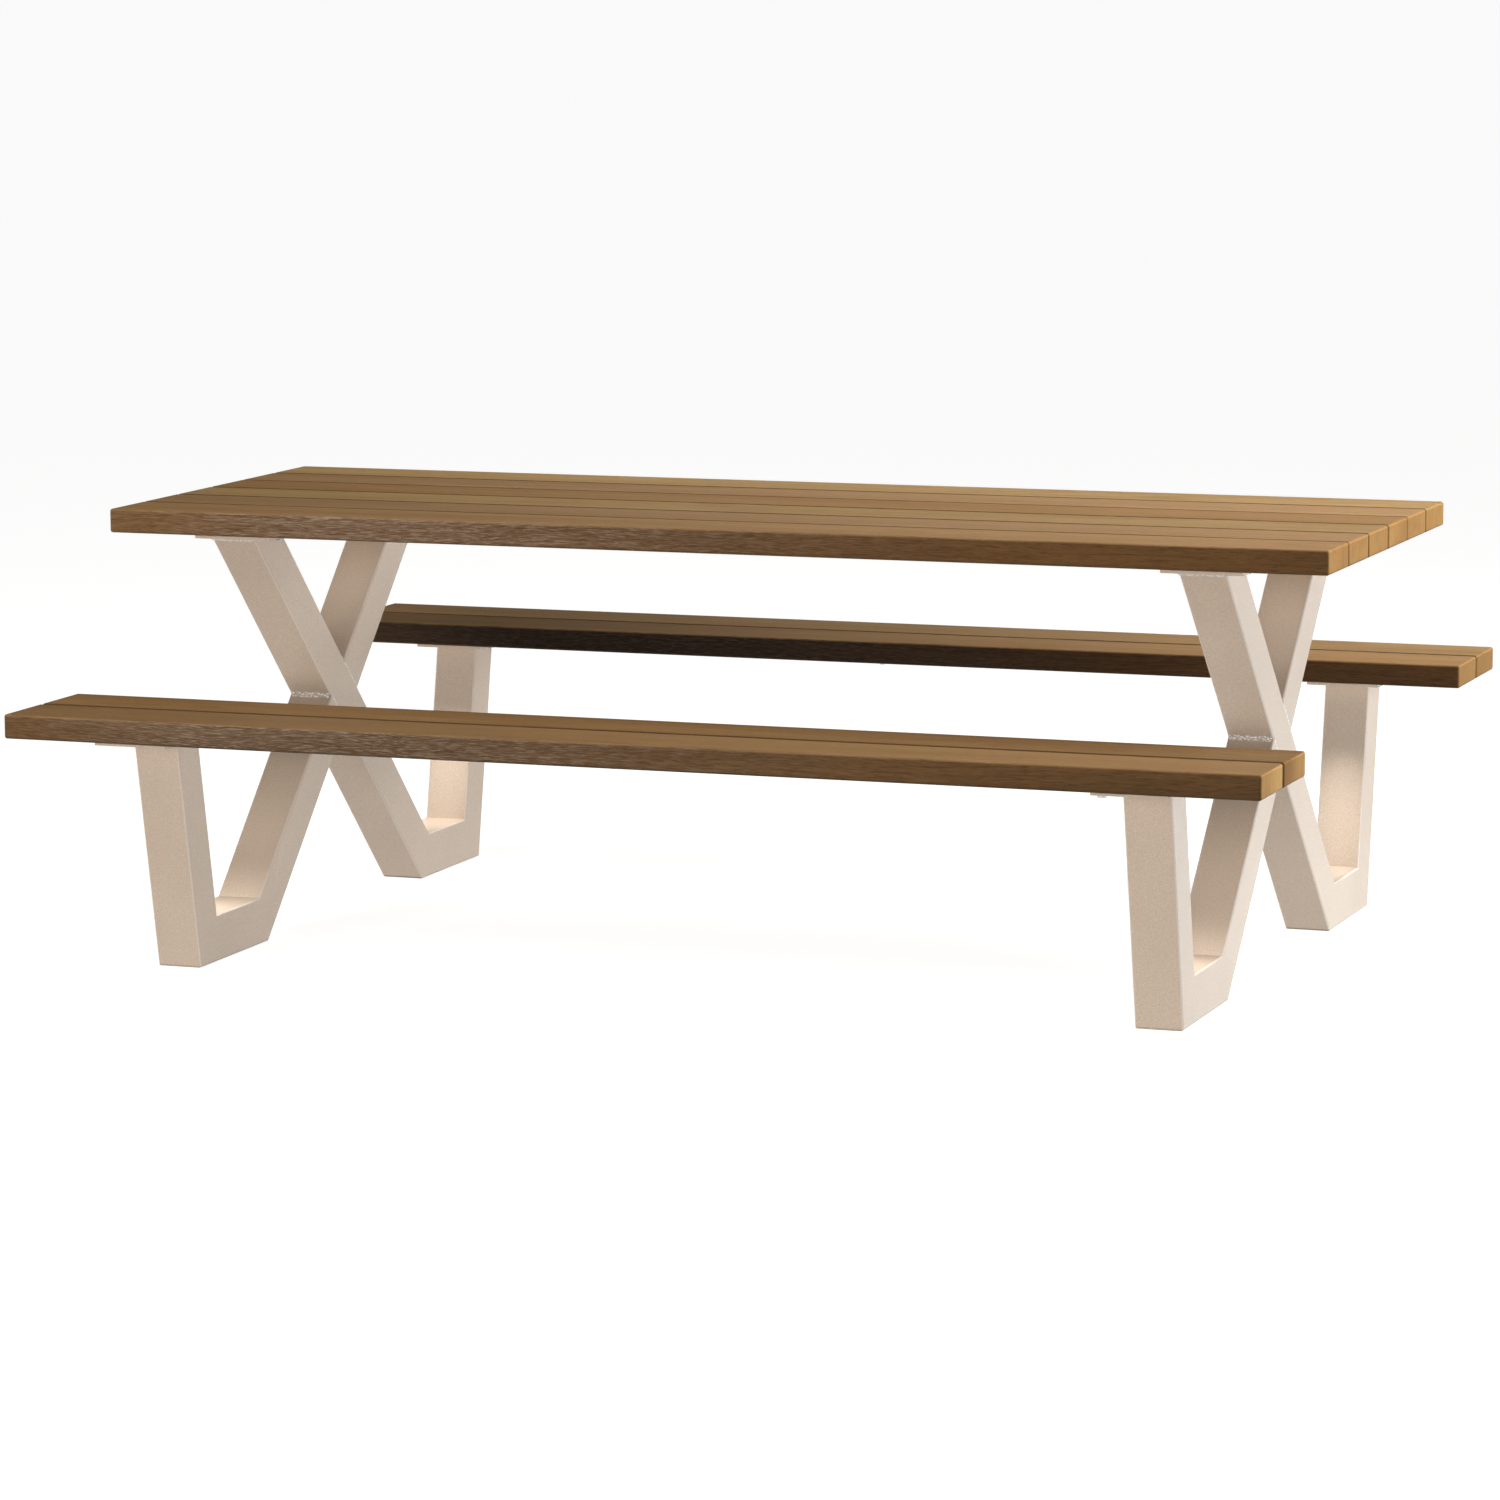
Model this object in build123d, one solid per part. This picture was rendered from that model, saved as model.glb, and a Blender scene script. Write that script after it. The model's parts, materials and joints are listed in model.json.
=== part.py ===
from build123d import *
from math import cos, radians, tan
import os

# Picnic table with two fixed benches. Ten hardwood planks are bolted from below to two welded frames of
# square steel tube. X runs along the table, Y across it, Z up; the origin is on the floor at the middle of
# the table. "Left" is -X, "front" is -Y. All sizes are millimetres.

# Planks
LENGTH = 2150.0
PLANK_THICKNESS = 41.0
PLANK_EDGE_RADIUS = 4.5
TABLE_HEIGHT = 750.0
TABLE_PLANK_WIDTH = 130.0
TABLE_GAPS = (2.5, 5.0, 5.0, 2.5, 5.0)
SEAT_HEIGHT = 448.0
BENCH_PLANK_WIDTH = 131.0
BENCH_GAP = 7.5
BENCH_CENTRE_Y = 671.1

# Frames: square tube, bent into an X with a foot and a leaning bench post on each side
FRAME_X = 858.0
TUBE = 80.0
TUBE_WALL = 3.0
TUBE_CORNER_RADIUS = 4.0
LEG_ANGLE = 45.0
POST_ANGLE = 11.0
CROSSING_HEIGHT = 392.5
FOOT_OUTER_Y = 605.0

# Plates welded on the tube ends, under the planks
TABLE_PLATE_WIDTH = 140.0
BENCH_PLATE_WIDTH = 130.0
PLATE_THICKNESS = 8.0
PLATE_SETBACK = 28.0
PLATE_CORNER_RADIUS = 3.0

# Weld beads
NOTCH_WELD = 4.5
NOTCH_WELD_BULGE = 0.8
SEAM_WELD_ROOT_GAP = 0.03
COLLAR_WELD = 4.0
COLLAR_WELD_LIP = 0.6

# M8 hexagon bolts in threaded inserts. Bench bolts are placed from the bench's centre line, and the front
# bench has one bolt, on the inner side of the right frame, that sits further out than the rest
BOLT_OFFSET_X = 52.5
EDGE_PLANK_BOLT_INSET = 18.0
BENCH_BOLT_REACH = 29.0
FORWARD_BOLT_REACH = 80.75
BOLT_LENGTH = 25.0
BOLT_SHANK_RADIUS = 3.95
BOLT_HEAD_FLATS = 13.0
BOLT_HEAD_HEIGHT = 5.3
BOLT_HEAD_CHAMFER = 0.9
WASHER_RADIUS = 8.0
WASHER_HOLE_RADIUS = 4.2
WASHER_THICKNESS = 1.6
PLATE_HOLE_RADIUS = 4.5
INSERT_RADIUS = 6.0
INSERT_HOLE_RADIUS = 4.0
INSERT_LENGTH = 20.0
BORE_CLEARANCE = 0.1

# Middle battens that hold the planks level with each other, and their screws
BATTEN_WIDTH = 40.0
BATTEN_THICKNESS = 5.0
BATTEN_SETBACK = 45.0
BATTEN_CORNER_RADIUS = 6.0
SCREW_OFFSET_X = 10.0
SCREW_OFFSET_Y = 10.0
EDGE_PLANK_SCREW_INSET = 35.0
SCREW_HEAD_RADIUS = 5.0
SCREW_HEAD_HEIGHT = 3.2
SCREW_HEAD_ROUNDING = 1.5
SCREW_SHANK_RADIUS = 2.5
SCREW_LENGTH = 33.0
BATTEN_HOLE_RADIUS = 2.8

# Worked out from the sizes above
TABLE_UNDERSIDE = TABLE_HEIGHT - PLANK_THICKNESS
SEAT_UNDERSIDE = SEAT_HEIGHT - PLANK_THICKNESS
LEG_TOP = TABLE_UNDERSIDE - PLATE_THICKNESS
POST_TOP = SEAT_UNDERSIDE - PLATE_THICKNESS
TABLE_WIDTH = 6 * TABLE_PLANK_WIDTH + sum(TABLE_GAPS)
BENCH_WIDTH = 2 * BENCH_PLANK_WIDTH + BENCH_GAP
LEG_SLOPE = tan(radians(LEG_ANGLE))
LEG_HALF_Y = TUBE / 2 / cos(radians(LEG_ANGLE))
POST_SLOPE = tan(radians(POST_ANGLE))
POST_WIDTH_Y = TUBE / cos(radians(POST_ANGLE))
WELD_LENGTH = TUBE - 2 * TUBE_CORNER_RADIUS

SIDES = {"front": -1, "rear": 1}
FRAMES = {"left": -FRAME_X, "right": FRAME_X}


# ---- Places of the planks, bolts and screws ----

def table_plank_centres():
    """Y of each table plank's centre line, from the front to the rear."""
    centres = []
    front_edge = -TABLE_WIDTH / 2
    for gap in TABLE_GAPS + (0.0,):
        centres.append(front_edge + TABLE_PLANK_WIDTH / 2)
        front_edge += TABLE_PLANK_WIDTH + gap
    return centres


def bench_plank_centres(side):
    """Y of the inner and the outer plank of one bench."""
    half_pitch = (BENCH_PLANK_WIDTH + BENCH_GAP) / 2
    return [side * (BENCH_CENTRE_Y - half_pitch), side * (BENCH_CENTRE_Y + half_pitch)]


def bolt_points(bolt_ys):
    """X, Y of the bolts at the given Y places, one on each side of both frames."""
    offsets = (-BOLT_OFFSET_X, BOLT_OFFSET_X)
    return [(x + offset, y) for x in FRAMES.values() for offset in offsets for y in bolt_ys]


def table_fixing_ys(inset):
    """Y of the fixings in each table plank: its middle, or this far from the inner edge of an edge plank."""
    ys = table_plank_centres()
    inward = TABLE_PLANK_WIDTH / 2 - inset
    ys[0] += inward
    ys[-1] -= inward
    return ys


def table_bolts():
    return bolt_points(table_fixing_ys(EDGE_PLANK_BOLT_INSET))


def bench_bolts(side):
    """Two bolts to each plank at each frame, near the bench's centre line but for the one forward bolt."""
    reaches = (-BENCH_BOLT_REACH, BENCH_BOLT_REACH)
    bolts = bolt_points([side * (BENCH_CENTRE_Y + reach) for reach in reaches])
    if side == SIDES["front"]:
        forward_x = FRAMES["right"] - BOLT_OFFSET_X
        outermost = min(y for _, y in bolts)
        bolts.remove((forward_x, outermost))
        bolts.append((forward_x, side * (BENCH_CENTRE_Y + FORWARD_BOLT_REACH)))
    return bolts


def within_y(points, centre_y, width):
    """The points that lie on a plank or plate of this width."""
    return [(x, y) for x, y in points if abs(y - centre_y) < width / 2]


def within_x(points, centre_x, width):
    """The points that lie on a plate of this width, as X, Y from its own frame."""
    return [(x - centre_x, y) for x, y in points if abs(x - centre_x) < width / 2]


def screw_points(ys):
    """X, Y of the batten screws: two to a plank, on a diagonal."""
    return [(s * SCREW_OFFSET_X, y + s * SCREW_OFFSET_Y) for y in ys for s in (-1, 1)]


def table_screws():
    return screw_points(table_fixing_ys(EDGE_PLANK_SCREW_INSET))


# ---- Wood ----

def rod(radius, length, x, y, bottom):
    """A plain upright cylinder with its lower end at the given height."""
    return Pos(x, y, bottom + length / 2) * Cylinder(radius, length)


def plank(width, centre_y, top, bolts, screws):
    """A plank with every edge rounded, bored from below for its inserts and its batten screws."""
    blank = fillet(Box(LENGTH, width, PLANK_THICKNESS).edges(), PLANK_EDGE_RADIUS)
    solid = Pos(0, centre_y, top - PLANK_THICKNESS / 2) * blank
    underside = top - PLANK_THICKNESS
    for x, y in bolts:
        solid -= rod(INSERT_RADIUS + BORE_CLEARANCE, INSERT_LENGTH + BORE_CLEARANCE, x, y, underside)
    for x, y in screws:
        solid -= rod(SCREW_SHANK_RADIUS + BORE_CLEARANCE, SCREW_LENGTH - BATTEN_THICKNESS, x, y, underside)
    return solid


def table_planks():
    planks = {}
    for number, y in enumerate(table_plank_centres(), start=1):
        bolts = within_y(table_bolts(), y, TABLE_PLANK_WIDTH)
        screws = within_y(table_screws(), y, TABLE_PLANK_WIDTH)
        planks[f"table_plank_{number}"] = plank(TABLE_PLANK_WIDTH, y, TABLE_HEIGHT, bolts, screws)
    return planks


def bench_planks(name, side):
    planks = {}
    for place, y in zip(("inner", "outer"), bench_plank_centres(side)):
        bolts = within_y(bench_bolts(side), y, BENCH_PLANK_WIDTH)
        planks[f"{name}_bench_plank_{place}"] = plank(
            BENCH_PLANK_WIDTH, y, SEAT_HEIGHT, bolts, screw_points([y]))
    return planks


# ---- Frame tubes, each drawn as its four-cornered side view in Y, Z ----

def leg_y(height, lean, edge):
    """Y of a leg's edge (-1 or 1) at a height; lean is the Y direction that the leg takes going up."""
    return lean * (height - CROSSING_HEIGHT) * LEG_SLOPE + edge * LEG_HALF_Y


def post_y(height, side, inner):
    """Y of a bench post's outer or inner edge at a height."""
    return side * (FOOT_OUTER_Y + height * POST_SLOPE - inner * POST_WIDTH_Y)


def through_leg_outline():
    """The leg that runs unbroken from the front of the table top to the rear foot."""
    return [
        (leg_y(LEG_TOP, -1, -1), LEG_TOP),
        (leg_y(0, -1, -1), 0),
        (leg_y(TUBE, -1, 1), TUBE),
        (leg_y(LEG_TOP, -1, 1), LEG_TOP),
    ]


def upper_half_leg_outline():
    """The half leg from the rear of the table top down to the through leg."""
    return [
        (leg_y(LEG_TOP, 1, -1), LEG_TOP),
        (0, CROSSING_HEIGHT + LEG_HALF_Y),
        (LEG_HALF_Y, CROSSING_HEIGHT),
        (leg_y(LEG_TOP, 1, 1), LEG_TOP),
    ]


def lower_half_leg_outline():
    """The half leg from the through leg down to the front foot."""
    return [
        (0, CROSSING_HEIGHT - LEG_HALF_Y),
        (leg_y(0, 1, 1), 0),
        (leg_y(TUBE, 1, -1), TUBE),
        (-LEG_HALF_Y, CROSSING_HEIGHT),
    ]


def foot_outline(side):
    """The tube on the floor, mitred to a leg and to a bench post."""
    return [
        (leg_y(0, -side, -side), 0),
        (post_y(0, side, inner=False), 0),
        (post_y(TUBE, side, inner=True), TUBE),
        (leg_y(TUBE, -side, side), TUBE),
    ]


def post_outline(side):
    """The leaning post from the foot up to the bench."""
    return [
        (post_y(0, side, inner=False), 0),
        (post_y(POST_TOP, side, inner=False), POST_TOP),
        (post_y(POST_TOP, side, inner=True), POST_TOP),
        (post_y(TUBE, side, inner=True), TUBE),
    ]


def bar(outline, section):
    """The section run along the outline's length and cut off at the outline's two ends."""
    a, b, c, d = [Vector(0, y, z) for y, z in outline]
    start = (a + d) / 2
    end = (b + c) / 2
    along = (end - start).normalized()
    run_past = along * TUBE
    path_plane = Plane(origin=start - run_past, x_dir=(1, 0, 0), z_dir=along)
    stock = extrude(path_plane * section, amount=(end - start).length + 2 * TUBE)
    widen = TUBE / 4
    corners = [a + (a - d).normalized() * widen, b + (b - c).normalized() * widen,
               c + (c - b).normalized() * widen, d + (d - a).normalized() * widen]
    side_view = Plane.YZ * Polygon(*[(p.Y, p.Z) for p in corners], align=None)
    return stock & extrude(side_view, amount=TUBE, both=True)


def tube(outline):
    bore = TUBE - 2 * TUBE_WALL
    bore_corner_radius = TUBE_CORNER_RADIUS - TUBE_WALL
    ring = RectangleRounded(TUBE, TUBE, TUBE_CORNER_RADIUS) - RectangleRounded(bore, bore, bore_corner_radius)
    return bar(outline, ring)


def frame_tubes():
    tubes = {
        "through_leg": tube(through_leg_outline()),
        "upper_half_leg": tube(upper_half_leg_outline()),
        "lower_half_leg": tube(lower_half_leg_outline()),
    }
    for name, side in SIDES.items():
        tubes[f"{name}_foot"] = tube(foot_outline(side))
        tubes[f"{name}_bench_post"] = tube(post_outline(side))
    return tubes


# ---- Plates and welds ----

def plate(width, length, centre_y, top, bolts):
    """A flat plate with bolt holes in its side flanges."""
    blank = Box(width, length, PLATE_THICKNESS)
    blank = fillet(blank.edges().filter_by(Axis.Z), PLATE_CORNER_RADIUS)
    solid = Pos(0, centre_y, top - PLATE_THICKNESS / 2) * blank
    for x, y in bolts:
        solid -= rod(PLATE_HOLE_RADIUS, PLATE_THICKNESS, x, y, top - PLATE_THICKNESS)
    return solid


def frame_plates(frame_x):
    """The three plates of the frame at this X, drawn about X = 0."""
    bolts = within_x(table_bolts(), frame_x, TABLE_PLATE_WIDTH)
    table_length = TABLE_WIDTH - 2 * PLATE_SETBACK
    plates = {"table_plate": plate(TABLE_PLATE_WIDTH, table_length, 0, TABLE_UNDERSIDE, bolts)}
    for name, side in SIDES.items():
        bolts = within_x(bench_bolts(side), frame_x, BENCH_PLATE_WIDTH)
        bench_length = BENCH_WIDTH - 2 * PLATE_SETBACK
        plates[f"{name}_bench_plate"] = plate(
            BENCH_PLATE_WIDTH, bench_length, side * BENCH_CENTRE_Y, SEAT_UNDERSIDE, bolts)
    return plates


def notch_weld(y, z, turn):
    """A bead along X in one of the four corners where the legs cross, opening along +Y turned by an angle."""
    reach = NOTCH_WELD
    sides = Polyline((reach, -reach), (0, 0), (reach, reach))
    crown = ThreePointArc((reach, reach), (reach + NOTCH_WELD_BULGE, 0), (reach, -reach))
    bead = extrude(Plane.YZ * make_face(sides + crown), amount=WELD_LENGTH / 2, both=True)
    return Pos(0, y, z) * Rot(turn, 0, 0) * bead


def seam_weld(side_x, side_y):
    """The weld ground flush over a rounded edge of the through leg, where a half leg's end butts on it."""
    radius = TUBE_CORNER_RADIUS
    arc_centre = TUBE / 2 - radius
    middle = arc_centre + radius / 2
    square = Pos(side_x * middle, side_y * middle) * Rectangle(radius, radius)
    edge = Pos(side_x * arc_centre, side_y * arc_centre) * Circle(radius + SEAM_WELD_ROOT_GAP)
    along_leg = Plane(origin=(0, 0, CROSSING_HEIGHT), x_dir=(1, 0, 0), z_dir=(0, LEG_SLOPE, -1))
    return extrude(along_leg * (square - edge), amount=WELD_LENGTH / 2, both=True)


def crossing_welds():
    beads = []
    for quarter, (y, z) in enumerate(((1, 0), (0, 1), (-1, 0), (0, -1))):
        place = Vector(0, y, z) * LEG_HALF_Y
        beads.append(notch_weld(place.Y, CROSSING_HEIGHT + place.Z, 90 * quarter))
    seams = [seam_weld(side_x, side_y) for side_x in (-1, 1) for side_y in (-1, 1)]
    return Compound(children=beads + seams)


def collar_weld(outline, top_corners):
    """The fillet weld all round a tube where it meets the underside of its plate."""
    top = outline[top_corners[0]][1]
    ys = sorted(outline[i][0] for i in top_corners)
    width_y = ys[1] - ys[0]
    centre_y = sum(ys) / 2
    below = [outline[i] for i in range(4) if i not in top_corners]
    lean = (sum(y for y, _ in below) / 2 - centre_y) / (top - sum(z for _, z in below) / 2)
    root = Pos(0, centre_y, top) * RectangleRounded(
        TUBE + 2 * COLLAR_WELD, width_y + 2 * COLLAR_WELD, TUBE_CORNER_RADIUS)
    toe = Pos(0, centre_y + lean * COLLAR_WELD, top - COLLAR_WELD) * RectangleRounded(
        TUBE + 2 * COLLAR_WELD_LIP, width_y + 2 * COLLAR_WELD_LIP, TUBE_CORNER_RADIUS)
    envelope = bar(outline, RectangleRounded(TUBE, TUBE, TUBE_CORNER_RADIUS))
    return loft([toe.face(), root.face()]) - envelope


def plate_welds():
    collars = [
        collar_weld(through_leg_outline(), (0, 3)),
        collar_weld(upper_half_leg_outline(), (0, 3)),
    ]
    for side in SIDES.values():
        collars.append(collar_weld(post_outline(side), (1, 2)))
    return Compound(children=collars)


def frame_pieces(frame_x):
    """Every piece of the frame at this X, drawn about X = 0."""
    pieces = frame_tubes()
    pieces.update(frame_plates(frame_x))
    pieces["crossing_welds"] = crossing_welds()
    pieces["plate_welds"] = plate_welds()
    return pieces


# ---- Fasteners, in groups ----

def hex_bolt():
    """An M8 bolt, head down, with the underside of its head at Z = 0."""
    head = extrude(RegularPolygon(BOLT_HEAD_FLATS / 2, 6, major_radius=False), amount=-BOLT_HEAD_HEIGHT)
    corner_radius = BOLT_HEAD_FLATS / 2 / cos(radians(30))
    crown = Pos(0, 0, -BOLT_HEAD_HEIGHT / 2) * Cylinder(corner_radius, BOLT_HEAD_HEIGHT)
    crown = chamfer(crown.edges().group_by(Axis.Z)[0], BOLT_HEAD_CHAMFER)
    return (head & crown) + rod(BOLT_SHANK_RADIUS, BOLT_LENGTH, 0, 0, 0)


def washer():
    """A flat washer with its top at Z = 0."""
    disc = rod(WASHER_RADIUS, WASHER_THICKNESS, 0, 0, -WASHER_THICKNESS)
    return disc - rod(WASHER_HOLE_RADIUS, WASHER_THICKNESS, 0, 0, -WASHER_THICKNESS)


def insert():
    """A threaded insert with its mouth at Z = 0."""
    return rod(INSERT_RADIUS, INSERT_LENGTH, 0, 0, 0) - rod(INSERT_HOLE_RADIUS, INSERT_LENGTH, 0, 0, 0)


def pan_head_screw():
    """A wood screw, head down, with the underside of its head at Z = 0."""
    head = rod(SCREW_HEAD_RADIUS, SCREW_HEAD_HEIGHT, 0, 0, -SCREW_HEAD_HEIGHT)
    head = fillet(head.edges().group_by(Axis.Z)[0], SCREW_HEAD_ROUNDING)
    return head + rod(SCREW_SHANK_RADIUS, SCREW_LENGTH - BORE_CLEARANCE, 0, 0, 0)


def group(piece, points, height):
    """Copies of one fastener at each X, Y point, with the piece's own Z = 0 at the given height."""
    return Compound(children=[Pos(x, y, height) * piece for x, y in points])


def fasteners(name, bolts, underside):
    plate_underside = underside - PLATE_THICKNESS
    return {
        f"{name}_bolts": group(hex_bolt(), bolts, plate_underside - WASHER_THICKNESS),
        f"{name}_washers": group(washer(), bolts, plate_underside),
        f"{name}_inserts": group(insert(), bolts, underside),
    }


# ---- Middle battens ----

def batten(name, centre_y, width, underside, screws):
    """A steel flat across the middle of the planks, with its screws."""
    blank = Box(BATTEN_WIDTH, width - 2 * BATTEN_SETBACK, BATTEN_THICKNESS)
    blank = fillet(blank.edges().filter_by(Axis.Z), BATTEN_CORNER_RADIUS)
    solid = Pos(0, centre_y, underside - BATTEN_THICKNESS / 2) * blank
    for x, y in screws:
        solid -= rod(BATTEN_HOLE_RADIUS, BATTEN_THICKNESS, x, y, underside - BATTEN_THICKNESS)
    return {
        f"{name}_batten": solid,
        f"{name}_batten_screws": group(pan_head_screw(), screws, underside - BATTEN_THICKNESS),
    }


# ---- The whole table ----

def picnic_table():
    nodes = table_planks()
    nodes.update(fasteners("table", table_bolts(), TABLE_UNDERSIDE))
    nodes.update(batten("table", 0, TABLE_WIDTH, TABLE_UNDERSIDE, table_screws()))
    for name, side in SIDES.items():
        nodes.update(bench_planks(name, side))
        nodes.update(fasteners(f"{name}_bench", bench_bolts(side), SEAT_UNDERSIDE))
        screws = screw_points(bench_plank_centres(side))
        nodes.update(batten(f"{name}_bench", side * BENCH_CENTRE_Y, BENCH_WIDTH, SEAT_UNDERSIDE, screws))
    for frame, x in FRAMES.items():
        for name, piece in frame_pieces(x).items():
            nodes[f"{frame}_{name}"] = Pos(x, 0, 0) * piece
    return nodes


os.makedirs("parts", exist_ok=True)
for node, shape in picnic_table().items():
    export_step(shape, f"parts/{node}.step")
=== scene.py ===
import json
import math
import random
from typing import NamedTuple

import bmesh
import bpy
from mathutils import Matrix, Vector


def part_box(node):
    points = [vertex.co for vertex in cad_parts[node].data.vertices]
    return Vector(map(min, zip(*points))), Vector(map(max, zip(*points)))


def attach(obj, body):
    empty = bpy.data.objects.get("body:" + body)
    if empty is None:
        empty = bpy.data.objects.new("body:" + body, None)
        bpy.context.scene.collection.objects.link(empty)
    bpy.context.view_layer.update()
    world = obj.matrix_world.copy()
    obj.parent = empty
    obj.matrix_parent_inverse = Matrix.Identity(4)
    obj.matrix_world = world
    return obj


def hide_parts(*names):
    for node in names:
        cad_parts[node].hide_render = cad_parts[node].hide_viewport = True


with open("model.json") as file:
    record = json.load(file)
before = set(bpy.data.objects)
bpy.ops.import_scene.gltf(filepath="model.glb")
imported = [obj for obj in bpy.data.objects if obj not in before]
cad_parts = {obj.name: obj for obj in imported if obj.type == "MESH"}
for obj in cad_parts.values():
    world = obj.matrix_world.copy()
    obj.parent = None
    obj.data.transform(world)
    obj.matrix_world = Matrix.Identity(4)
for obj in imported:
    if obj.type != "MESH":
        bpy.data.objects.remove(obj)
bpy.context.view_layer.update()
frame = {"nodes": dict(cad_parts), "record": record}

NODES = frame["nodes"]

# Camera: a long lens in front and to the right, a metre above the table top, aimed at the middle.
# In metres and radians, with the lens and the sensor in millimetres
CAMERA_PLACE = (3.2596, -9.052, 1.7453)
CAMERA_YAW = 0.3507
CAMERA_PITCH = -0.1466
CAMERA_ROLL = -0.005
LENS = 134.95
SENSOR_WIDTH = 36.0
CAMERA_REACH = 1000.0

# Studio
WHITE = (1.0, 1.0, 1.0)
FLOOR_SIZE = 400.0
FLOOR_COLOUR = (0.35, 0.35, 0.345)
FLOOR_ROUGHNESS = 0.9
FLOOR_GLOW = 0.93
# How far up from the horizon, from 0 to 1, and how bright
SKY_STOPS = ((0.0, 0.004), (0.30, 0.008), (0.45, 0.04), (0.7, 0.06), (1.0, 0.08))
SKY_COLOUR = (1.0, 0.985, 0.96)

FULL_SPREAD = 180.0
# Lights on the wood and floor. Name: place, point it faces, size, watts, colour
WOOD_LIGHTS = {
    "wood_top": ((1.7, 0.6, 3.3), (0.9, 0.0, 0.6), (2.0, 1.6), 50.0, (1.0, 0.98, 0.94)),
    "wood_high_right": ((2.7, 0.6, 3.0), (0.9, 0.0, 0.6), (1.6, 1.4), 70.0, (1.0, 0.98, 0.94)),
    "wood_low_right": ((4.3, -0.6, 1.9), (0.2, 0.0, 0.6), (1.6, 1.4), 30.0, (1.0, 0.97, 0.92)),
    "wood_front": ((-2.4, -3.6, 2.6), (-0.6, 0.0, 0.5), (2.0, 1.4), 105.0, (1.0, 0.95, 0.88)),
    "wood_rear": ((-1.0, 5.0, 3.4), (0.0, 0.0, 0.5), (3.0, 1.5), 15.0, (1.0, 0.97, 0.93)),
}
# Lights on the steel: broad and mostly low, as from pale walls and floor
STEEL_LIGHTS = {
    "steel_front": ((0.0, -6.0, 1.0), (0.0, 0.0, 0.4), (6.0, 0.8), 120.0, (1.0, 0.985, 0.97)),
    "steel_front_right": ((3.6, -6.0, 1.4), (0.0, 0.0, 0.4), (3.0, 2.0), 82.0, (1.0, 0.985, 0.97)),
    "steel_front_left": ((-3.6, -6.0, 1.2), (0.0, 0.0, 0.4), (3.0, 1.2), 82.0, (1.0, 0.985, 0.97)),
    "steel_rear_right": ((4.9, 2.5, 0.6), (0.0, 0.0, 0.4), (1.6, 1.4), 142.0, (0.97, 1.0, 1.03)),
    "steel_low_right": ((1.75, 0.1, 0.1), (0.9, 0.0, 0.1), (1.4, 0.15), 4.6, (0.84, 1.0, 1.2)),
    "steel_floor": ((0.0, -0.1, 0.001), (0.0, -0.1, 1.0), (3.0, 2.4), 9.5, (1.0, 0.99, 0.98)),
    "steel_rear": ((0.0, 6.0, 0.8), (0.0, 0.0, 0.4), (8.0, 1.6), 150.0, (1.0, 0.97, 0.93)),
    "steel_left": ((-5.5, 0.0, 0.8), (0.0, 0.0, 0.4), (1.6, 1.4), 80.0, (1.0, 0.97, 0.93)),
    "steel_above": ((0.0, 0.0, 5.0), (0.0, 0.0, 0.0), (6.0, 6.0), 45.0, (1.0, 0.985, 0.97)),
}
# Small fills inside each frame, shining down. Name: Y, Z, length, watts, spread in degrees
FRAME_FILLS = {
    "front_foot": (-0.5, 0.36, 0.1, 0.2, 70.0),
    "rear_foot": (0.48, 0.36, 0.1, 0.2, 75.0),
    "lower_v": (-0.38, 0.34, 0.1, 0.07, FULL_SPREAD),
    "upper_v": (0.0, 0.68, 0.2, 0.068, FULL_SPREAD),
}
FILL_WIDTH = 0.06

# Wood colours of the wide faces
TAN = (0.39, 0.238, 0.108)
OLIVE = (0.405, 0.268, 0.12)
AMBER = (0.375, 0.22, 0.093)
PINK = (0.39, 0.243, 0.118)
PALE = (0.405, 0.26, 0.122)
# What late wood and dark streaks leave of each channel
LATE_WOOD = (0.56, 0.47, 0.40)
PORE_SHADE = 0.35
# How much paler the rounded edges are painted: partly wear, partly a painted highlight
EDGE_RUB_AND_HIGHLIGHT = 1.35
# Sawn ends. A darker end is redder: the power of its brightness that multiplies each channel
END_GRAIN = (0.63, 0.345, 0.112)
END_REDDENING = (0.85, 1.1, 1.3)
END_SHADE = 0.6
# Side faces go to a greyer brown with pale flecks at the left, partly weathering and partly a painted
# sheen, and stay a deep brown at the right
SIDE_LEFT = (0.35, 0.22, 0.138)
SIDE_RIGHT = (0.36, 0.188, 0.07)
SIDE_FLECK = (0.60, 0.46, 0.34)
SIDE_SHADE = 0.4
# Painted shade on the edges that turn in to the gaps between planks that lie at most this far apart
GAP_SHADE = (0.075, 0.04, 0.018)
WIDEST_GAP = 0.02

# The wood's figure: how often it changes in a metre along X, Y and Z of the plank
WANDER_SCALE = (1.1, 5.0, 5.0)
LEAN_SCALE = (2.2, 3.0, 3.0)
BROAD_SCALE = (1.3, 14.0, 30.0)
STREAK_SCALE = (6.0, 260.0, 230.0)
FLECK_SCALE = (42.0, 420.0, 640.0)
PORE_SCALE = (60.0, 1500.0, 1500.0)
UPRIGHT_SCALE = (1.0, 110.0, 9.0)
RUB_SCALE = (9.0, 40.0, 40.0)
RINGS_PER_METRE = 150.0
RING_UNEVENNESS_SCALE = 70.0
# How far the pith wanders and the figure leans, in metres
WANDER = (0.0, 0.06, 0.06)
LEAN = (0.0, 0.05, 0.05)
# The pith lies at most this far to the side of the plank's middle, and this far above or below it
PITH_ASIDE = 0.10
PITH_AWAY = (0.07, 0.13)
# Each plank takes its figure from another place in the noise, up to this far from the origin
FIGURE_SHIFT = 50
WOOD_SPECULAR = 0.12
WOOD_BUMP = 0.0006

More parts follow.
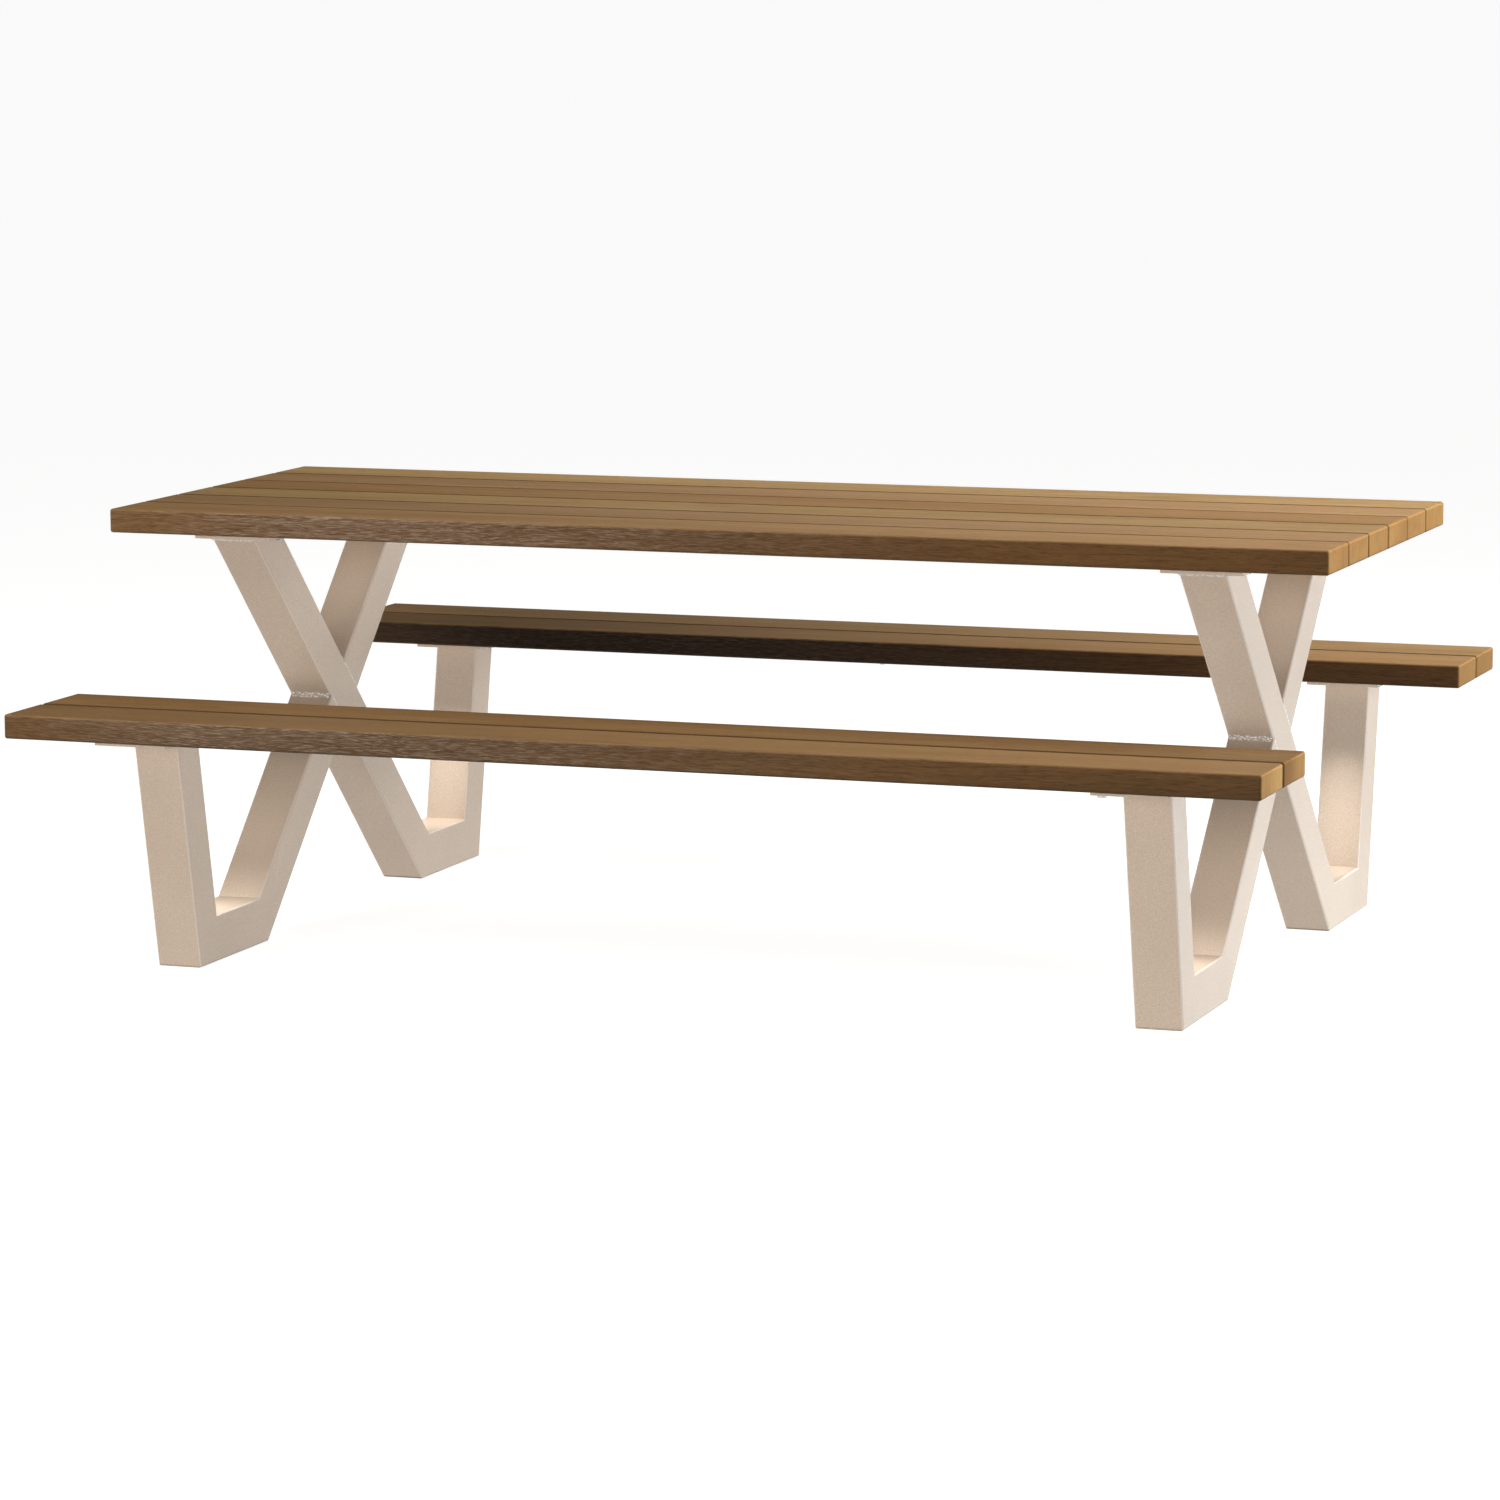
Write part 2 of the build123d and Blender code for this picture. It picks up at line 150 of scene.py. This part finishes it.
# Powder coat
COAT_DEEP = (0.64, 0.505, 0.385)
COAT_PALE = (0.68, 0.54, 0.412)
COAT_SPECKLE = (0.44, 0.345, 0.26)
# Painted highlight on the tubes' rounded edges
COAT_EDGE_HIGHLIGHT = (0.84, 0.76, 0.67)
COAT_BUMP = 0.00035
CLOUD_SCALE = 7.0
SPECKLE_SCALE = 430.0
PEEL_SCALE = 420.0
# The coat over a weld
WELD_PALE = (0.56, 0.46, 0.37)
WELD_DEEP = (0.46, 0.37, 0.29)
# Painted glints on the bead
WELD_GLINT = (0.98, 0.96, 0.91)
WELD_ROUGHNESS = 0.3
WELD_BUMP = 0.0004
GLINT_SCALE = (160.0, 420.0, 420.0)

# Zinc and brass
ZINC_BRIGHT = (0.42, 0.42, 0.41)
ZINC_DULL = (0.28, 0.285, 0.28)
ZINC_BUMP = 0.00005
DULLING_SCALE = 260.0
SCRATCH_SCALE = (2600.0, 300.0, 300.0)
BRASS_BRIGHT = (0.80, 0.60, 0.28)
BRASS_DULL = (0.62, 0.44, 0.18)
BRASS_BUMP = 0.00004
TURNING_SCALE = (300.0, 300.0, 4000.0)

# Ripples on the weld beads where the legs cross, in metres. The second wave keeps them uneven
RIPPLE_CUT = 0.0008
RIPPLE_PITCH = 0.0036
RIPPLE_HEIGHT = 0.0003
RIPPLE_SKEW = 90.0
SECOND_WAVE_HEIGHT = 0.4
SECOND_WAVE_RATE = 2.7
BEAD_CROWN = 0.004
MERGE_DISTANCE = 1e-6


class Plank(NamedTuple):
    """One plank's wood: the random seed and colour of its figure, and factors on its brightness that
    are partly its tone and partly painted shade.
    """
    seed: int
    tone: tuple
    # Brightness factors below are partly the planks' tone and partly painted shade, most on the
    # benches where the table shades them
    shade_and_tone_drift: tuple  # wide faces, at the left and the right
    ends: tuple  # sawn ends, at the front edge and the rear edge
    sides: tuple = (1.0, 1.0)  # long sides, at the left and the right


PLANKS = {
    "table_plank_1": Plank(11, TAN, (0.95, 0.98), (1.05, 0.9)),
    "table_plank_2": Plank(22, PINK, (0.9, 1.01), (1.0, 1.05)),
    "table_plank_3": Plank(33, OLIVE, (1.05, 1.0), (1.05, 1.0)),
    "table_plank_4": Plank(44, AMBER, (1.0, 1.0), (1.1, 0.88)),
    "table_plank_5": Plank(55, PINK, (1.06, 1.1), (0.95, 1.05)),
    "table_plank_6": Plank(66, OLIVE, (1.33, 1.15), (1.0, 1.1)),
    "front_bench_plank_outer": Plank(77, TAN, (0.78, 0.93), (1.15, 1.6), sides=(0.95, 1.15)),
    "front_bench_plank_inner": Plank(88, AMBER, (0.92, 0.76), (0.6, 1.2)),
    # Its top is painted darker at the left and its long side faces darker still: painted shade from
    # the table
    "rear_bench_plank_inner": Plank(99, TAN, (0.48, 1.12), (1.0, 1.05), sides=(0.2, 0.8)),
    "rear_bench_plank_outer": Plank(110, PALE, (0.68, 1.1), (0.9, 1.0)),
}


class Graph:
    """Short calls that build one material's node tree."""

    def __init__(self, name):
        self.material = bpy.data.materials.new(name)
        self.material.use_nodes = True
        self.tree = self.material.node_tree
        self.tree.nodes.clear()

    def node(self, kind, inputs=None, **settings):
        made = self.tree.nodes.new("ShaderNode" + kind)
        for key, value in settings.items():
            setattr(made, key, value)
        for socket, value in (inputs or {}).items():
            self.feed(made.inputs[socket], value)
        return made

    def feed(self, socket, value):
        """Links a socket to another node's output, or sets it."""
        if isinstance(value, bpy.types.NodeSocket):
            self.tree.links.new(value, socket)
        else:
            socket.default_value = value

    def math(self, operation, *values, clamp=False):
        inputs = dict(enumerate(values))
        return self.node("Math", inputs, operation=operation, use_clamp=clamp).outputs[0]

    def vector(self, operation, *values):
        made = self.node("VectorMath", dict(enumerate(values)), operation=operation)
        return made.outputs["Value" if operation == "LENGTH" else "Vector"]

    def stretch(self, vector, scale, shift=(0.0, 0.0, 0.0)):
        mapping = {"Vector": vector, "Scale": scale, "Location": shift}
        return self.node("Mapping", mapping).outputs["Vector"]

    def noise(self, vector, scale=1.0, *, detail, roughness=0.5, distortion=0.0, colour=False):
        inputs = {"Vector": vector, "Scale": scale, "Detail": detail, "Roughness": roughness,
                  "Distortion": distortion}
        return self.node("TexNoise", inputs).outputs["Color" if colour else "Fac"]

    def about_zero(self, noise, reach):
        """A noise colour, 0 to 1 on each axis, as a vector about zero and reach wide."""
        return self.vector("MULTIPLY", self.vector("SUBTRACT", noise, (0.5, 0.5, 0.5)), reach)

    def span(self, value, low, high, to_low=0.0, to_high=1.0):
        """Remaps low..high to to_low..to_high with soft ends, and no further."""
        inputs = {"Value": value, "From Min": low, "From Max": high,
                  "To Min": to_low, "To Max": to_high}
        return self.node("MapRange", inputs, interpolation_type="SMOOTHSTEP").outputs["Result"]

    def mix(self, factor, a, b, blend="MIX"):
        made = self.node("Mix", data_type="RGBA", blend_type=blend)
        self.feed(made.inputs["Factor"], factor)
        colours = [socket for socket in made.inputs if socket.type == "RGBA"]
        for socket, value in zip(colours, (a, b)):
            self.feed(socket, value if isinstance(value, bpy.types.NodeSocket) else (*value, 1.0))
        return next(socket for socket in made.outputs if socket.type == "RGBA")

    def place(self):
        return self.node("TexCoord").outputs["Object"]

    def normal(self):
        """The X, Y and Z of the direction that the surface faces."""
        facing = self.node("NewGeometry").outputs["Normal"]
        return self.node("SeparateXYZ", {"Vector": facing}).outputs

    def bump(self, height, distance, strength):
        inputs = {"Height": height, "Distance": distance, "Strength": strength}
        return self.node("Bump", inputs).outputs["Normal"]

    def shade(self, **inputs):
        """The surface shader, with the sockets' names written with underscores."""
        sockets = {name.replace("_", " "): value for name, value in inputs.items()}
        shader = self.node("BsdfPrincipled", sockets)
        output = self.node("OutputMaterial")
        self.tree.links.new(shader.outputs["BSDF"], output.inputs["Surface"])
        return self.material


def times(colour, factor):
    return tuple(channel * factor for channel in colour)


def face_masks(g):
    """Where a plank's surface is an end (faces along X), a long side (along Y), or rounded."""
    along = [g.math("ABSOLUTE", axis) for axis in g.normal()]
    flattest = g.math("MAXIMUM", g.math("MAXIMUM", along[0], along[1]), along[2])
    end = g.span(along[0], 0.6, 0.85)
    side = g.span(along[1], 0.6, 0.85)
    rounded = g.span(flattest, 0.9, 0.995, 1.0, 0.0)
    return end, side, rounded


def growth_rings(g, local, shift, chance):
    """Late-wood lines about a pith that runs along the plank, outside it, and wanders."""
    wander = g.noise(g.stretch(local, WANDER_SCALE, shift), detail=2.0, colour=True)
    aside = chance.uniform(-PITH_ASIDE, PITH_ASIDE)
    away = chance.choice((-1, 1)) * chance.uniform(*PITH_AWAY)
    about = g.vector("ADD", g.vector("MULTIPLY", local, (0.0, 1.0, 1.0)), (0.0, aside, away))
    radius = g.vector("LENGTH", g.vector("ADD", about, g.about_zero(wander, WANDER)))
    along_radius = g.node("CombineXYZ", {"X": radius}).outputs[0]
    uneven = g.noise(along_radius, RING_UNEVENNESS_SCALE, detail=2.0)
    turns = g.math("ADD", g.math("MULTIPLY", radius, RINGS_PER_METRE), g.math("MULTIPLY", uneven, 3.0))
    ring = g.math("FRACT", turns)
    return g.math("MULTIPLY", g.span(ring, 0.25, 0.85), g.span(ring, 0.88, 1.0, 1.0, 0.0))


def wide_face(g, plank, rings, streak, broad, pores):
    """A plank's top or bottom: soft bands, fine streaks and dark pores along it."""
    dark = tuple(channel * factor for channel, factor in zip(plank.tone, LATE_WOOD))
    streaky = g.math("MULTIPLY", g.span(streak, 0.3, 0.72), 0.42)
    banded = g.math("MULTIPLY", g.span(broad, 0.3, 0.75), 0.38)
    grain = g.math("ADD", g.math("MULTIPLY_ADD", rings, 0.30, streaky), banded)
    colour = g.mix(g.math("MULTIPLY", grain, 0.72, clamp=True), plank.tone, dark)
    return g.mix(g.math("MULTIPLY", pores, 0.4), colour, times(dark, PORE_SHADE))


def side_face(g, weather_and_sheen, streak, broad, fleck):
    """A plank's long side: brown with dark streaks, greyer with short light flecks at the left, partly
    weathering and partly a painted sheen.
    """
    dark = times(SIDE_RIGHT, SIDE_SHADE)
    colour = g.mix(weather_and_sheen, SIDE_RIGHT, SIDE_LEFT)
    colour = g.mix(g.span(broad, 0.35, 0.7, 0.0, 0.35), colour, dark)
    colour = g.mix(g.span(streak, 0.42, 0.75, 0.0, 0.62), colour, dark)
    colour = g.mix(g.span(fleck, 0.5, 0.36, 0.0, 0.55), colour, dark)
    # Pale flecks: partly weathering, partly a painted highlight
    fleck_weather_and_sheen = g.math("MULTIPLY_ADD", weather_and_sheen, 0.75, 0.04)
    light = g.math("MULTIPLY", g.span(fleck, 0.50, 0.62), fleck_weather_and_sheen)
    return g.mix(light, colour, SIDE_FLECK)


def shade_and_tone_drift(g, x, factors):
    """A grey that goes from one factor at the plank's left to the other at its right, for painted
    shade and tone along the plank.
    """
    left, right = factors
    return g.mix(g.span(x, -1.0, 1.0), times(WHITE, left), times(WHITE, right))


def end_grain(g, local, plank, rings, broad, pores, shift):
    """A plank's sawn end: bright oiled end grain with upright streaks and faint rings."""
    y = g.node("SeparateXYZ", {"Vector": local}).outputs["Y"]
    front, rear = (tuple(channel * factor ** power for channel, power in zip(END_GRAIN, END_REDDENING))
                   for factor in plank.ends)
    brown = times(END_GRAIN, END_SHADE)
    upright = g.noise(g.stretch(local, UPRIGHT_SCALE, shift), detail=4.0, roughness=0.6)
    colour = g.mix(g.span(y, -0.05, 0.05), front, rear)
    colour = g.mix(g.span(upright, 0.48, 0.8, 0.0, 0.65), colour, brown)
    colour = g.mix(g.math("MULTIPLY", rings, 0.13), colour, brown)
    colour = g.mix(g.span(broad, 0.5, 0.75, 0.0, 0.3), colour, brown)
    return g.mix(g.math("MULTIPLY", pores, 0.25), colour, brown)


def beside_gap(g, name):
    """Masks of a plank's edges that turn in to a close neighbour on its -Y or +Y side."""
    normal = g.normal()
    off_end = g.span(g.math("ABSOLUTE", normal["X"]), 0.1, 0.4, 1.0, 0.0)
    low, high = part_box(name)
    masks = []
    for other in PLANKS:
        other_low, other_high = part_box(other)
        if 0.0 < low.y - other_high.y < WIDEST_GAP:
            masks.append(g.math("MULTIPLY", off_end, g.span(normal["Y"], -0.4, -0.1, 1.0, 0.0)))
        if 0.0 < other_low.y - high.y < WIDEST_GAP:
            masks.append(g.math("MULTIPLY", off_end, g.span(normal["Y"], 0.1, 0.4)))
    return masks


def wood(name):
    """Oiled hardwood: rings, streaks, flecks and pores that run through the plank, rubbed edges."""
    plank = PLANKS[name]
    g = Graph(name + "_wood")
    chance = random.Random(plank.seed)
    low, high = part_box(name)
    local = g.vector("SUBTRACT", g.place(), tuple((low + high) / 2))
    shift = tuple(chance.uniform(-FIGURE_SHIFT, FIGURE_SHIFT) for _ in range(3))
    end, side, rounded = face_masks(g)
    x = g.node("SeparateXYZ", {"Vector": local}).outputs["X"]
    # The long side faces turn greyer with pale flecks, partly weathering and partly a painted sheen,
    # most left of the middle, and not at all at the right
    weather_and_sheen = g.math("MULTIPLY", g.span(x, -0.6, 0.6, 1.0, 0.0), g.span(x, -1.1, -0.65, 0.1, 1.0))

    # The figure leans a few degrees up and down along the plank
    lean = g.noise(g.stretch(local, LEAN_SCALE, shift), detail=1.0, colour=True)
    leaning = g.vector("ADD", local, g.about_zero(lean, LEAN))
    rings = growth_rings(g, local, shift, chance)
    broad = g.noise(g.stretch(leaning, BROAD_SCALE, shift), detail=3.0)
    streak = g.noise(g.stretch(leaning, STREAK_SCALE, shift), detail=5.0, roughness=0.62)
    fleck = g.noise(g.stretch(leaning, FLECK_SCALE, shift), detail=4.0, roughness=0.65, distortion=0.1)
    pores = g.span(g.noise(g.stretch(leaning, PORE_SCALE, shift), detail=1.0), 0.60, 0.70)

    wide = wide_face(g, plank, rings, streak, broad, pores)
    long_side = side_face(g, weather_and_sheen, streak, broad, fleck)
    # Painted shade and tone along the plank multiply the wide faces and the long side faces
    colour = g.mix(1.0, wide, shade_and_tone_drift(g, x, plank.shade_and_tone_drift), "MULTIPLY")
    colour = g.mix(side, colour, g.mix(1.0, long_side, shade_and_tone_drift(g, x, plank.sides), "MULTIPLY"))
    colour = g.mix(end, colour, end_grain(g, local, plank, rings, broad, pores, shift))

    # Rounded edges are rubbed smoother by hands and sleeves, and painted paler: partly wear and partly
    # a painted highlight
    patchy = g.span(g.noise(g.stretch(local, RUB_SCALE, shift), detail=4.0), 0.35, 0.65)
    wear_and_highlight = g.math("MULTIPLY", rounded, g.math("MULTIPLY_ADD", patchy, 0.2, 0.05))
    colour = g.mix(wear_and_highlight, colour, times(plank.tone, EDGE_RUB_AND_HIGHLIGHT))

    # Painted shade where an edge turns in to the gap beside a close neighbour
    for gap in beside_gap(g, name):
        colour = g.mix(g.math("MULTIPLY", gap, 0.85), colour, GAP_SHADE)

    roughness = g.math("MULTIPLY_ADD", streak, 0.22, 0.46)
    roughness = g.math("SUBTRACT", roughness, g.math("MULTIPLY", wear_and_highlight, 0.25))
    height = g.math("SUBTRACT", g.math("MULTIPLY", streak, 0.5), g.math("MULTIPLY", pores, 0.6))
    height = g.math("ADD", height, g.math("MULTIPLY", fleck, 0.5))
    return g.shade(Base_Color=colour, Roughness=roughness, Specular_IOR_Level=WOOD_SPECULAR,
                   Normal=g.bump(height, WOOD_BUMP, 0.5))


def tube_edge(g):
    """Where a tube's long edge is rounded: its surface there faces partly along X."""
    x = g.math("ABSOLUTE", g.normal()["X"])
    return g.math("MULTIPLY", g.span(x, 0.2, 0.5), g.span(x, 0.75, 0.95, 1.0, 0.0))


def coat_speckle(g, place):
    return g.noise(place, SPECKLE_SCALE, detail=3.0, roughness=0.7)


def powder_coat():
    """Beige fine-textured powder coat: orange peel, a fine speckle, slight unevenness and a painted
    highlight along the tubes' rounded edges.
    """
    g = Graph("beige_powder_coat")
    place = g.place()
    cloudy = g.noise(place, CLOUD_SCALE, detail=3.0)
    speckle = coat_speckle(g, place)
    peel = g.noise(place, PEEL_SCALE, detail=2.0)
    colour = g.mix(g.span(cloudy, 0.3, 0.7), COAT_DEEP, COAT_PALE)
    colour = g.mix(g.span(speckle, 0.3, 0.7, 0.0, 0.6), colour, COAT_SPECKLE)
    # A painted highlight along the tubes' rounded long edges
    colour = g.mix(g.math("MULTIPLY", tube_edge(g), 0.45), colour, COAT_EDGE_HIGHLIGHT)
    roughness = g.math("MULTIPLY_ADD", speckle, 0.2, 0.42)
    height = g.math("MULTIPLY_ADD", speckle, 0.4, peel)
    return g.shade(Base_Color=colour, Roughness=roughness, Normal=g.bump(height, COAT_BUMP, 0.35))


def weld_coat():
    """The same coat where it flowed over a weld: smoother, with painted glints along the bead."""
    g = Graph("beige_powder_coat_on_weld")
    place = g.place()
    speckle = coat_speckle(g, place)
    glint_noise = g.noise(g.stretch(place, GLINT_SCALE), detail=3.0, roughness=0.7)
    colour = g.mix(g.span(speckle, 0.3, 0.7), WELD_PALE, WELD_DEEP)
    # Painted glints: near-white dashes along the bead
    colour = g.mix(g.span(glint_noise, 0.50, 0.56), colour, WELD_GLINT)
    return g.shade(Base_Color=colour, Roughness=WELD_ROUGHNESS, Normal=g.bump(glint_noise, WELD_BUMP, 0.5))


def zinc():
    """Zinc plating, lightly scratched and dulled in patches."""
    g = Graph("zinc_plated_steel")
    place = g.place()
    patchy = g.noise(place, DULLING_SCALE, detail=4.0)
    scratch = g.noise(g.stretch(place, SCRATCH_SCALE), detail=2.0)
    colour = g.mix(g.span(patchy, 0.35, 0.7), ZINC_BRIGHT, ZINC_DULL)
    roughness = g.math("MULTIPLY_ADD", patchy, 0.25, g.math("MULTIPLY_ADD", scratch, 0.15, 0.2))
    return g.shade(Base_Color=colour, Metallic=1.0, Roughness=roughness,
                   Normal=g.bump(scratch, ZINC_BUMP, 0.4))


def brass():
    """Machined brass with fine turning marks."""
    g = Graph("brass")
    marks = g.noise(g.stretch(g.place(), TURNING_SCALE), detail=2.0)
    colour = g.mix(g.span(marks, 0.3, 0.7), BRASS_BRIGHT, BRASS_DULL)
    roughness = g.math("MULTIPLY_ADD", marks, 0.2, 0.25)
    return g.shade(Base_Color=colour, Metallic=1.0, Roughness=roughness,
                   Normal=g.bump(marks, BRASS_BUMP, 0.4))


def add_object(name, data):
    made = bpy.data.objects.new(name, data)
    bpy.context.scene.collection.objects.link(made)
    return made


def rippled_weld(node, material):
    """The frame's crossing welds, cut finely along X and drawn up into a welder's ripples."""
    low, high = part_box(node)
    foot_low, foot_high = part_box(node.replace("crossing_welds", "front_foot"))
    # The tubes cross in a square that stands on its corner: half its diagonal
    crossing = (foot_high.z - foot_low.z) / math.sqrt(2)
    form = bmesh.new()
    form.from_mesh(NODES[node].data)
    cuts = round((high.x - low.x) / RIPPLE_CUT)
    for step in range(1, cuts):
        plane = (low.x + step * RIPPLE_CUT, 0.0, 0.0)
        bmesh.ops.bisect_plane(form, geom=[*form.verts, *form.edges, *form.faces], plane_co=plane,
                               plane_no=(1.0, 0.0, 0.0), dist=MERGE_DISTANCE)
    form.normal_update()
    middle = (low + high) / 2
    for vert in form.verts:
        beyond = abs(vert.co.y - middle.y) + abs(vert.co.z - middle.z) - crossing
        if beyond > BEAD_CROWN:
            phase = 2 * math.pi * (vert.co.x / RIPPLE_PITCH + RIPPLE_SKEW * beyond)
            wave = math.sin(phase) + SECOND_WAVE_HEIGHT * math.sin(SECOND_WAVE_RATE * phase)
            outward = Vector((0.0, vert.normal.y, vert.normal.z))
            vert.co += outward * RIPPLE_HEIGHT * wave
    mesh = bpy.data.meshes.new(node + "_rippled")
    form.to_mesh(mesh)
    form.free()
    mesh.materials.append(material)
    piece = add_object(node + "_rippled", mesh)
    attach(piece, "root")
    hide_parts(node)
    return piece


def paint(node, material):
    """Gives a CAD node one material."""
    mesh = NODES[node].data
    mesh.materials.clear()
    mesh.materials.append(material)


def finish_surfaces():
    """Paints every node and returns the pieces that were made anew."""
    finishes = {"beige_powder_coat": powder_coat(), "zinc_plated_fasteners": zinc(),
                "brass_inserts": brass()}
    on_weld = weld_coat()
    rippled = []
    for part in frame["record"]["subparts"]:
        node = part["node"]
        if node in PLANKS:
            paint(node, wood(node))
        elif node.endswith("_welds"):
            paint(node, on_weld)
            if node.endswith("_crossing_welds"):
                rippled.append(rippled_weld(node, on_weld))
        else:
            paint(node, finishes[part["material_slot"]])
    return rippled


def studio():
    """A very pale floor, wide enough to meet the white surround. Its glow stays off the object."""
    mesh = bpy.data.meshes.new("floor")
    form = bmesh.new()
    bmesh.ops.create_grid(form, x_segments=1, y_segments=1, size=FLOOR_SIZE / 2)
    form.to_mesh(mesh)
    form.free()
    floor = add_object("floor", mesh)
    mesh.materials.append(Graph("floor").shade(
        Base_Color=(*FLOOR_COLOUR, 1.0), Roughness=FLOOR_ROUGHNESS,
        Emission_Color=(*WHITE, 1.0), Emission_Strength=FLOOR_GLOW))
    floor.visible_diffuse = False
    return floor


def surround():
    """Faint daylight from above that fades towards the horizon. The camera sees white instead."""
    world = bpy.data.worlds.new("surround")
    bpy.context.scene.world = world
    world.use_nodes = True
    tree = world.node_tree
    tree.nodes.clear()
    new, link = tree.nodes.new, tree.links.new
    direction = new("ShaderNodeSeparateXYZ")
    link(new("ShaderNodeTexCoord").outputs["Generated"], direction.inputs[0])
    # From straight down at 0, through the horizon at 0.5, to straight up at 1
    rise = new("ShaderNodeMapRange")
    rise.inputs["From Min"].default_value = -1.0
    link(direction.outputs["Z"], rise.inputs["Value"])
    ramp = new("ShaderNodeValToRGB")
    link(rise.outputs["Result"], ramp.inputs["Fac"])
    stops = ramp.color_ramp.elements
    while len(stops) < len(SKY_STOPS):
        stops.new(0.5)
    for stop, (position, strength) in zip(stops, SKY_STOPS):
        stop.position = 0.5 + 0.5 * position
        stop.color = (*times(SKY_COLOUR, strength), 1.0)
    sky = new("ShaderNodeBackground")
    link(ramp.outputs["Color"], sky.inputs["Color"])
    plain = new("ShaderNodeBackground")
    plain.inputs["Color"].default_value = (*WHITE, 1.0)
    mix = new("ShaderNodeMixShader")
    link(new("ShaderNodeLightPath").outputs["Is Camera Ray"], mix.inputs[0])
    link(sky.outputs[0], mix.inputs[1])
    link(plain.outputs[0], mix.inputs[2])
    link(mix.outputs[0], new("ShaderNodeOutputWorld").inputs["Surface"])


def area_light(name, place, target, size, watts, colour, spread=FULL_SPREAD):
    """A rectangular light that the camera doesn't see."""
    data = bpy.data.lights.new(name, "AREA")
    data.spread = math.radians(spread)
    data.shape = "RECTANGLE"
    data.size, data.size_y = size
    data.energy = watts
    data.color = colour
    light = add_object(name, data)
    light.location = place
    light.rotation_mode = "QUATERNION"
    light.rotation_quaternion = (Vector(target) - Vector(place)).to_track_quat("-Z", "Y")
    light.visible_camera = False
    return light


def light_group(name, lights, receivers):
    """Lights that only some objects take."""
    group = bpy.data.collections.new(name)
    for receiver in receivers:
        group.objects.link(receiver)
    for light, settings in lights.items():
        area_light(light, *settings).light_linking.receiver_collection = group


def frame_fills():
    """The small fills of both frames, in the middle of each frame's width."""
    fills = {}
    for side in ("left", "right"):
        low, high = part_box(f"{side}_table_plate")
        x = (low.x + high.x) / 2
        for name, (y, z, length, watts, spread) in FRAME_FILLS.items():
            size = (FILL_WIDTH, length)
            fills[f"{side}_{name}"] = ((x, y, z), (x, y, 0.0), size, watts, WHITE, spread)
    return fills


def light_studio(floor, steel_pieces):
    """Lights the wood with the floor, and the steel with the fasteners, apart from each other."""
    wooden = [NODES[name] for name in PLANKS]
    steel = [node for name, node in NODES.items() if name not in PLANKS]
    light_group("wood_and_floor", WOOD_LIGHTS, [*wooden, floor])
    light_group("steel", STEEL_LIGHTS | frame_fills(), [*steel, *steel_pieces])


def add_camera():
    data = bpy.data.cameras.new("camera")
    data.lens = LENS
    data.sensor_width = SENSOR_WIDTH
    data.clip_end = CAMERA_REACH
    camera = add_object("camera", data)
    level = math.radians(90)
    turn = Matrix.Rotation(CAMERA_YAW, 4, "Z") @ Matrix.Rotation(level + CAMERA_PITCH, 4, "X")
    turn = turn @ Matrix.Rotation(CAMERA_ROLL, 4, "Z")
    camera.matrix_world = Matrix.Translation(CAMERA_PLACE) @ turn
    bpy.context.scene.camera = camera


add_camera()
surround()
light_studio(studio(), finish_surfaces())
bpy.context.scene.view_settings.view_transform = "Standard"
